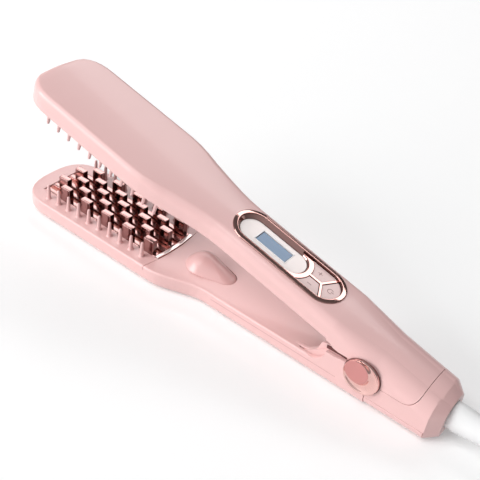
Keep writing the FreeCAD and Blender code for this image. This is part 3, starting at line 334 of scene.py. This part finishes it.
def combine(tree, operation, first, second):
    """Result of an operation on two values."""
    both = tree.nodes.new("ShaderNodeMath")
    both.operation = operation
    tree.links.new(first, both.inputs[0])
    tree.links.new(second, both.inputs[1])
    return both.outputs["Value"]


def mottle(tree, factor, tones):
    """Blend of two close colours."""
    mix = tree.nodes.new("ShaderNodeMix")
    mix.data_type = "RGBA"
    for socket, tone in zip(("A", "B"), tones):
        mix.inputs[socket].default_value = (*tone, 1)
    tree.links.new(factor, mix.inputs["Factor"])
    return mix.outputs["Result"]


def surface(name, tones, rough, metal=0.0, coat=0.0, grain=moulded_grain):
    """Moulded or plated finish: two close tones, uneven gloss and a fine grain."""
    material = bpy.data.materials.new(name)
    material.use_nodes = True
    tree = material.node_tree
    shader = tree.nodes["Principled BSDF"]
    fine = noise(tree, grain_scale)
    bump = tree.nodes.new("ShaderNodeBump")
    bump.inputs["Distance"].default_value = grain
    tree.links.new(fine, bump.inputs["Height"])
    tree.links.new(mottle(tree, noise(tree, cloud_scale), tones), shader.inputs["Base Color"])
    tree.links.new(spread(tree, fine, *rough), shader.inputs["Roughness"])
    tree.links.new(bump.outputs["Normal"], shader.inputs["Normal"])
    shader.inputs["Metallic"].default_value = metal
    shader.inputs["Coat Weight"].default_value = coat
    return material


def pale_floor():
    """Matt pale floor, lifted towards white where it is seen directly, in metal or through glass."""
    material = surface("floor", **floor_finish)
    tree = material.node_tree
    shader = tree.nodes["Principled BSDF"]
    path = tree.nodes.new("ShaderNodeLightPath")
    seen = path.outputs["Is Camera Ray"]
    for ray in ("Is Glossy Ray", "Is Transmission Ray"):
        seen = combine(tree, "MAXIMUM", seen, path.outputs[ray])
    tree.links.new(spread(tree, seen, 0.0, floor_lift), shader.inputs["Emission Strength"])
    shader.inputs["Emission Color"].default_value = (1, 1, 1, 1)
    return material


materials = {name: surface(name, **finish) for name, finish in finishes.items()}


def add_object(name, data):
    """New object in the scene, at the origin."""
    made = bpy.data.objects.new(name, data)
    bpy.context.scene.collection.objects.link(made)
    return made


def make_camera():
    """Camera at the photograph's viewing angle."""
    right = Vector((math.cos(camera_yaw), math.sin(camera_yaw), 0))
    back = Vector((math.sin(camera_yaw) * math.cos(camera_pitch),
                   -math.cos(camera_yaw) * math.cos(camera_pitch), math.sin(camera_pitch)))
    up = back.cross(right)
    right_rolled = math.cos(camera_roll) * right + math.sin(camera_roll) * up
    up_rolled = math.cos(camera_roll) * up - math.sin(camera_roll) * right
    data = bpy.data.cameras.new("camera")
    data.lens = camera_lens
    data.sensor_width = camera_sensor
    data.clip_start = camera_nearest
    camera = add_object("camera", data)
    turn = Matrix((right_rolled, up_rolled, back)).transposed().to_4x4()
    camera.matrix_world = Matrix.Translation(camera_place) @ turn
    bpy.context.scene.camera = camera
    bpy.context.scene.view_settings.view_transform = "Standard"


def make_world():
    """Soft world that fades towards the rear and towards the cord's side."""
    world = bpy.data.worlds.new("studio")
    world.use_nodes = True
    tree = world.node_tree
    sky = tree.nodes["Background"]
    sky.inputs["Color"].default_value = world_colour
    place = tree.nodes.new("ShaderNodeTexCoord")
    ways = tree.nodes.new("ShaderNodeSeparateXYZ")
    tree.links.new(place.outputs["Generated"], ways.inputs["Vector"])
    depth = spread(tree, ways.outputs["Y"], world_front, world_rear, start=-1.0)
    side = spread(tree, ways.outputs["X"], 1.0, world_right_share, start=-1.0)
    tree.links.new(combine(tree, "MULTIPLY", depth, side), sky.inputs["Strength"])
    bpy.context.scene.world = world


def make_floor():
    """Plain pale floor."""
    bm = bmesh.new()
    bmesh.ops.create_grid(bm, x_segments=1, y_segments=1, size=floor_half_size)
    mesh = bpy.data.meshes.new("floor")
    bm.to_mesh(mesh)
    bm.free()
    mesh.materials.append(pale_floor())
    add_object("floor", mesh)


def make_lamps():
    """Soft lamps: one in front, one above and one behind."""
    for name, place, aim, size, power in lamps:
        data = bpy.data.lights.new(name, "AREA")
        data.shape = "RECTANGLE"
        data.size, data.size_y = size
        data.energy = power
        lamp = add_object(name, data)
        lamp.location = place
        lamp.rotation_euler = (Vector(aim) - Vector(place)).to_track_quat("-Z", "Y").to_euler()


def ease(share):
    """Smooth step from 0 to 1."""
    t = min(1.0, max(0.0, share))
    return t * t * (3 - 2 * t)


def add_part(bm, part):
    """Join a small bmesh to a larger one."""
    mesh = bpy.data.meshes.new("part")
    part.to_mesh(mesh)
    part.free()
    bm.from_mesh(mesh)
    bpy.data.meshes.remove(mesh)


def round_edges(bm, edges, width):
    """Round edges off."""
    bmesh.ops.bevel(bm, geom=edges, offset=width, offset_type="OFFSET", affect="EDGES",
                    segments=edge_segments, profile=0.5, material=-1, clamp_overlap=True)


def add_block(bm, low, high, edge=0.0, finish=0):
    """Box between two corners, with its edges rounded if they have a width."""
    part = bmesh.new()
    low, high = Vector(low), Vector(high)
    bmesh.ops.create_cube(part, size=1.0)
    bmesh.ops.scale(part, vec=high - low, verts=part.verts)
    bmesh.ops.translate(part, vec=(low + high) / 2, verts=part.verts)
    if edge:
        round_edges(part, part.edges[:], edge)
    for face in part.faces:
        face.material_index = finish
    add_part(bm, part)


def sweep(profile, start, angle):
    """Closed bow that a profile in radius and height makes as it turns about the vertical axis."""
    bow = bmesh.new()
    face = bow.faces.new([bow.verts.new((radius, 0, height)) for radius, height in profile])
    bmesh.ops.rotate(bow, cent=(0, 0, 0), matrix=Matrix.Rotation(start, 3, "Z"), verts=bow.verts)
    bmesh.ops.spin(bow, geom=[face] + face.edges[:] + face.verts[:], cent=(0, 0, 0), axis=(0, 0, 1),
                   angle=angle, steps=sweep_steps)
    bmesh.ops.recalc_face_normals(bow, faces=bow.faces)
    return bow


def ring_edges(bm, ring):
    """Edges of one ring of vertices."""
    chosen = set(ring)
    return [e for e in bm.edges if e.verts[0] in chosen and e.verts[1] in chosen]


def skin_rings(bm, rings, strip_finish=lambda strip: 0, tube=False):
    """Closed skin over a stack of rings, as a tube back to the first ring or with both ends filled."""
    loops = [ring_edges(bm, ring) for ring in rings]
    for strip, (a, b) in enumerate(zip(loops, loops[1:])):
        for face in bmesh.ops.bridge_loops(bm, edges=a + b)["faces"]:
            face.material_index = strip_finish(strip)
    if tube:
        bmesh.ops.bridge_loops(bm, edges=loops[-1] + loops[0])
    else:
        for loop in (loops[0], loops[-1]):
            bmesh.ops.contextual_create(bm, geom=loop)
    bmesh.ops.recalc_face_normals(bm, faces=bm.faces)


def side_plates(outline, sides, edge=0.0):
    """The same upright plate on both sides of the lever, from its outline in the side view."""
    bm = bmesh.new()
    for side in (-1, 1):
        part = bmesh.new()
        y0, y1 = sorted(side * y for y in sides)
        face = part.faces.new([part.verts.new((x, y0, z)) for x, z in outline])
        made = bmesh.ops.extrude_face_region(part, geom=[face])["geom"]
        moved = [v for v in made if isinstance(v, bmesh.types.BMVert)]
        bmesh.ops.translate(part, vec=(0, y1 - y0, 0), verts=moved)
        bmesh.ops.recalc_face_normals(part, faces=part.faces)
        if edge:
            round_edges(part, [e for e in part.edges if e.calc_face_angle() > corner_angle], edge)
        add_part(bm, part)
    bmesh.ops.transform(bm, matrix=lever_frame, verts=bm.verts)
    return bm


def set_on_arm(bm, body):
    """Take a shape that stands on z = 0 to an arm's inner face."""
    arm_frame, face_height, way = arms[body]
    if way < 0:
        bmesh.ops.scale(bm, vec=(1, 1, way), verts=bm.verts)
        bmesh.ops.reverse_faces(bm, faces=bm.faces)
    bmesh.ops.translate(bm, vec=(0, 0, face_height), verts=bm.verts)
    bmesh.ops.transform(bm, matrix=arm_frame, verts=bm.verts)


def finish_piece(name, bm, body, slot, shown=(), replaced=(), weighted=True):
    """Turn a finished bmesh into a piece on a body, with its slot's finish unless others are shown."""
    mesh = bpy.data.meshes.new(name)
    for face in bm.faces:
        face.smooth = True
    bm.to_mesh(mesh)
    bm.free()
    mesh.set_sharp_from_angle(angle=sharp_angle)
    for finish in shown or [slot]:
        mesh.materials.append(materials[finish])
    piece = add_object(name, mesh)
    if weighted:
        shading = piece.modifiers.new("weighted", "WEIGHTED_NORMAL")
        shading.keep_sharp = True
    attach(piece, body)
    if replaced:
        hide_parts(*replaced)


def dress_nodes():
    """Each solid that shows as it is gets its finish."""
    for part in frame["record"]["subparts"]:
        mesh = nodes[part["node"]].data
        mesh.materials.clear()
        mesh.materials.append(materials[part["material_slot"]])


def soften(node, width):
    """The solid's own form with its hard edges rounded off."""
    bm = bmesh.new()
    bm.from_mesh(nodes[node].data)
    bmesh.ops.remove_doubles(bm, verts=bm.verts, dist=merge_distance)
    bmesh.ops.dissolve_limit(bm, angle_limit=flat_angle, verts=bm.verts, edges=bm.edges)
    hard = [e for e in bm.edges if e.is_manifold and e.calc_face_angle() > hard_angle]
    round_edges(bm, hard, width * millimetre)
    return bm


def draw_forward(bm):
    """Bring the tail's front edge up to the lever."""
    to_lever = lever_frame.inverted()
    front = [v for v in bm.verts if (to_lever @ v.co).x < tail_edge]
    bmesh.ops.translate(bm, vec=(-tail_edge_reach * millimetre, 0, 0), verts=front)


def paint_wall_shade(bm):
    """Paint shade on the steep walls of the display's recess: they get the second finish, the trim's darker copy.
    """
    up = body_frame.to_3x3().normalized() @ Vector((0, 0, 1))
    for face in bm.faces:
        face.material_index = int(abs(face.normal.dot(up)) < wall_steepness)


def soften_nodes():
    """Moulded and plated pieces whose edges catch the light."""
    for node, body, slot, width in softened:
        bm = soften(node, width)
        shown = [slot]
        if node.startswith("tail"):
            draw_forward(bm)
        # The bezel's steep walls get painted shade
        if node == "display_bezel":
            paint_wall_shade(bm)
            shown.append("rose_trim_painted_shade")
        finish_piece(node + "_form", bm, body, slot, shown, [node])


def plate_lip():
    """Bright curved lip at the rear of a grid plate, along the seam; its outer wall takes the floor's finish,
    darker than the lip's, as painted shade, a dark line behind the lip.
    """
    low = -plate_recess - lip_sink
    profile = [(seam_radius - lip_width, low), (seam_radius, low)]
    for k in range(lip_steps + 1):
        turned = math.pi * k / lip_steps
        radius = seam_radius - lip_width * (1 - math.cos(turned)) / 2
        profile.append((radius, lip_rise * math.sin(turned) ** lip_flatness))
    reach = math.asin(plate_half_width / seam_radius)
    lip = sweep(profile, -reach, 2 * reach)
    for face in lip.faces:
        # The outer wall is finished darker: painted shade behind the lip
        lip_shade_face = face.calc_center_median().xy.length > seam_radius - lip_shaded_wall
        face.material_index = 1 if lip_shade_face else 2
    bmesh.ops.translate(lip, vec=(-plate_rear - seam_radius, 0, 0), verts=lip.verts)
    return lip


def make_plates():
    """Rose-gold grid plates: a base, low ribs, staggered teeth and the lip at the seam."""
    rear = plate_rear + seam_sagitta
    half = tooth_width / 2
    for name, node, body, stagger in plates:
        bm = bmesh.new()
        add_block(bm, (-plate_front, -plate_half_width, -plate_depth),
                  (lip_width - rear, plate_half_width, -plate_recess), plate_edge, finish=1)
        for row in range(row_count):
            y = (row - (row_count - 1) / 2) * row_pitch
            add_block(bm, (rib_front_margin - plate_front, y - half, -rib_root),
                      (-rear, y + half, rib_height - plate_recess), rib_edge)
            first = -tooth_start - pin_pitch * ((row + stagger) % 2)
            for k in range(tooth_count):
                x = first + 2 * pin_pitch * k
                add_block(bm, (x - tooth_length / 2, y - half, -rib_root),
                          (x + tooth_length / 2, y + half, tooth_height), tooth_edge)
        add_part(bm, plate_lip())
        set_on_arm(bm, body)
        finish_piece(name, bm, body, "rose_plate", ["rose_plate", "rose_plate_floor_and_lip_shade", "rose_lip"], [node])


def boss_edge(angle):
    """Point of the raised oval's outline that faces an angle."""
    (x0, r0), (x1, r1) = boss_ends
    way = Vector((math.cos(angle), math.sin(angle)))
    lean = (r0 - r1) / (x1 - x0)
    if way.x < lean:
        return Vector((x0, 0)) + r0 * way
    return Vector((x1, 0)) + r1 * way


def make_boss():
    """Smooth raised oval that slopes down to the rear."""
    (x0, r0), (x1, r1) = boss_ends
    middle = x0 + boss_top_share * (x1 - x0)
    bm = bmesh.new()
    rings = []
    for k in range(boss_rings):
        size = 1 - boss_shrink_share * (k / (boss_rings - 1)) ** boss_shrink_power
        height = boss_height * (1 - size ** boss_round_power)
        ring = bmesh.ops.create_circle(bm, segments=boss_sides, radius=1.0)["verts"]
        for vert in ring:
            edge = boss_edge(math.atan2(vert.co.y, vert.co.x))
            x = middle + (edge.x - middle) * size
            along = (x - x0 + r0) / (x1 - x0 + r0 + r1)
            slope = 1 - (1 - boss_rear_share) * ease(along)
            vert.co = (x, edge.y * size, height * slope if k else -boss_sink)
        rings.append(ring)
    skin_rings(bm, rings)
    set_on_arm(bm, "lever")
    finish_piece("raised_oval", bm, "lever", "pink_shell", replaced=["boss_cover"], weighted=False)


def make_rim():
    """Rounded bright rim round the display and the keys, with painted shade on its inner walls, which take the
    trim's darker copy.
    """
    bm = bmesh.new()
    rings = []
    for inset, lift in rim_profile:
        radius = rim_radius - inset
        ring = bmesh.ops.create_circle(bm, segments=rim_sides, radius=1.0)["verts"]
        for vert in ring:
            centre = rim_centres[0] if vert.co.x < 0 else rim_centres[1]
            y = vert.co.y * radius
            crown = handle_crown * max(0.0, 1 - (y / handle_flat_half) ** 2)
            vert.co = (centre + vert.co.x * radius, y, handle_top + crown + lift)
        rings.append(ring)
    skin_rings(bm, rings, lambda strip: int(strip >= rim_shade_strip), tube=True)
    bmesh.ops.transform(bm, matrix=body_frame, verts=bm.verts)
    finish_piece("display_rim", bm, "body", "rose_trim", ["rose_trim", "rose_trim_painted_shade"], weighted=False)


def cap_finish(strip):
    """Which finish a strip of a hinge cap has: the satin face, the bright flank or the dark foot, which paints the
    shadow gap round the cap.
    """
    if strip >= cap_face_strip:
        return 0
    return 1 if strip >= cap_flank_strip else 2


def make_caps():
    """Hinge caps: a satin disc set off-centre in a hollowed bright flank, on a dark foot of painted shade."""
    for name, node, side, size, rise in caps:
        bm = bmesh.new()
        rings = []
        for radius, height, shift in cap_rings:
            x, z = (size * shift * way for way in cap_shift)
            ring = bmesh.ops.create_circle(bm, segments=cap_sides, radius=radius * size)["verts"]
            for vert in ring:
                vert.co = (vert.co.x + x, side * (cap_plane + height * rise), vert.co.y + z)
            rings.append(ring)
        skin_rings(bm, rings, cap_finish)
        bmesh.ops.transform(bm, matrix=lever_frame, verts=bm.verts)
        finish_piece(name, bm, "body", "rose_cap", ["rose_cap", "rose_flank", "painted_shade_dark"], [node],
                     weighted=False)


def make_ear_walls():
    """Walls that close the lever's hollow in front of its hinge ears."""
    bm = side_plates(ear_wall_outline, ear_wall_sides, ear_wall_edge)
    finish_piece("ear_walls", bm, "lever", "pink_shell")


def make_slit_shades():
    """Dark strips of painted shade on the hinge cheeks, which show as a fine dark line in the slit above each cap.
    """
    bm = side_plates(slit_shade_outline, slit_shade_sides)
    finish_piece("slit_shade_strips", bm, "lever", "pink_shell", ["painted_shade_dark"], weighted=False)


def make_parting_lines():
    """Fine lines along the lever's sides where its two mouldings meet."""
    bm = bmesh.new()
    for side in (-1, 1):
        y0, y1 = sorted((side * (line_side - line_depth), side * (line_side + line_proud)))
        add_block(bm, (line_run[0], y0, line_heights[0]), (line_run[1], y1, line_heights[1]))
    bmesh.ops.transform(bm, matrix=lever_frame, verts=bm.verts)
    finish_piece("parting_lines", bm, "lever", "pink_shell", ["parting_pink"], weighted=False)


def make_window_border():
    """Thin pale frame round the display window."""
    bm = bmesh.new()
    front, rear = window_ends
    inner = window_half_width
    outer = inner + border_width
    low, high = panel_top - border_sink, panel_top + border_rise
    bars = [
        ((front - border_width, -outer), (front, outer)),
        ((rear, -outer), (rear + border_width, outer)),
        ((front, -outer), (rear, -inner)),
        ((front, inner), (rear, outer)),
    ]
    for a, b in bars:
        add_block(bm, (*a, low), (*b, high), border_edge)
    bmesh.ops.transform(bm, matrix=body_frame, verts=bm.verts)
    finish_piece("window_border", bm, "body", "ivory_panel", ["window_edge"])


def make_marks():
    """Minus, plus and power marks on the keys."""
    low, high = key_top - mark_sink, key_top + mark_height
    long, thick = mark_length / 2, mark_width / 2
    inner, outer = mark_ring_radius - thick, mark_ring_radius + thick
    for kind, node, body in marks:
        if kind == "power":
            section = [(inner, low), (outer, low), (outer, high), (inner, high)]
            bm = sweep(section, mark_ring_gap / 2, 2 * math.pi - mark_ring_gap)
            add_block(bm, (mark_stroke[0], -thick, low), (mark_stroke[1], thick, high))
        else:
            bm = bmesh.new()
            add_block(bm, (-long, -thick, low), (long, thick, high))
        if kind == "plus":
            add_block(bm, (-thick, -long, low), (thick, long, high))
        a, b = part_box(node)
        middle = body_frame.inverted() @ ((Vector(a) + Vector(b)) / 2)
        bmesh.ops.translate(bm, vec=(middle.x, middle.y, 0), verts=bm.verts)
        bmesh.ops.transform(bm, matrix=body_frame, verts=bm.verts)
        finish_piece("mark_" + kind, bm, body, "button_pink", ["key_mark"], weighted=False)


def comb_pin():
    """One comb pin with a flared foot and a round tip."""
    pin = bmesh.new()
    verts = [pin.verts.new((radius, 0, height)) for radius, height in pin_profile]
    edges = [pin.edges.new(pair) for pair in zip(verts, verts[1:])]
    bmesh.ops.spin(pin, geom=verts + edges, cent=(0, 0, 0), axis=(0, 0, 1), angle=2 * math.pi,
                   steps=pin_sides, use_merge=True)
    bmesh.ops.remove_doubles(pin, verts=pin.verts, dist=merge_distance / millimetre)
    return pin


def make_pins():
    """Two rows of comb pins on each arm."""
    for name, body, first, count in pin_rows:
        bm = bmesh.new()
        for side in (-pin_row_offset, pin_row_offset):
            for k in range(count):
                pin = comb_pin()
                bmesh.ops.translate(pin, vec=(first + k * pin_pitch, side, 0), verts=pin.verts)
                add_part(bm, pin)
        bmesh.ops.recalc_face_normals(bm, faces=bm.faces)
        set_on_arm(bm, body)
        finish_piece(name, bm, body, "pink_shell", weighted=False)


def hank_point(turn):
    """Middle line of the hank: in and out by turns, with a climb along a run between the layers."""
    layer, part = divmod(turn, 1 + hank_climb_turns)
    share = max(0.0, (part - 1) / hank_climb_turns)
    dip = hank_turn_pitch * hank_climb_turns / math.pi * math.sin(math.pi * share)
    inward = hank_turn_pitch * min(part, 1.0) + dip
    if layer % 2:
        inward = hank_turn_pitch - inward
    radius = hank_inner_radius + hank_turn_pitch - inward
    run_share = hank_run / (hank_run + math.pi * (hank_inner_radius + hank_turn_pitch / 2))
    z = cord_route[-1][2] + hank_layer_step * (layer + ease(share / run_share))
    half, u = divmod(2 * turn, 1)
    side = 1 if half % 2 else -1
    if u < run_share:
        along = u / run_share
        x = hank_run / 2 + side * hank_run * (0.5 - along)
        y = side * radius * (1 - hank_waist_share * ease(1 - abs(2 * along - 1)))
    else:
        turned = math.pi * (u - run_share) / (1 - run_share)
        x = hank_run / 2 - side * (hank_run / 2 + radius * math.sin(turned))
        y = side * radius * math.cos(turned)
    return Vector((hank_left + x, y, z))


def make_cord():
    """The mains cord: one smooth line through the free run and the hank to the plug."""
    points = [Vector(p) for p in cord_route]
    total = (1 + hank_climb_turns) * (hank_layers - 1)
    count = int(total * hank_points_per_turn)
    points += [hank_point(total * k / count) for k in range(count + 1)]
    points += [Vector(p) for p in hank_tail]
    curve = bpy.data.curves.new("mains_cord", "CURVE")
    curve.dimensions = "3D"
    spline = curve.splines.new("NURBS")
    spline.points.add(len(points) - 1)
    for control, point in zip(spline.points, points):
        control.co = (*point, 1)
    spline.order_u = 3
    spline.use_endpoint_u = True
    spline.resolution_u = 4
    curve.bevel_depth = cord_diameter / 2
    curve.bevel_resolution = 5
    curve.use_fill_caps = True
    curve.materials.append(materials["white_cord"])
    cord = add_object("mains_cord", curve)
    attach(cord, "body")
    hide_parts("cord_lead", "cord_coil")


make_camera()
make_world()
make_floor()
make_lamps()
dress_nodes()
soften_nodes()
make_plates()
make_boss()
make_rim()
make_caps()
make_ear_walls()
make_slit_shades()
make_parting_lines()
make_window_border()
make_marks()
make_pins()
make_cord()
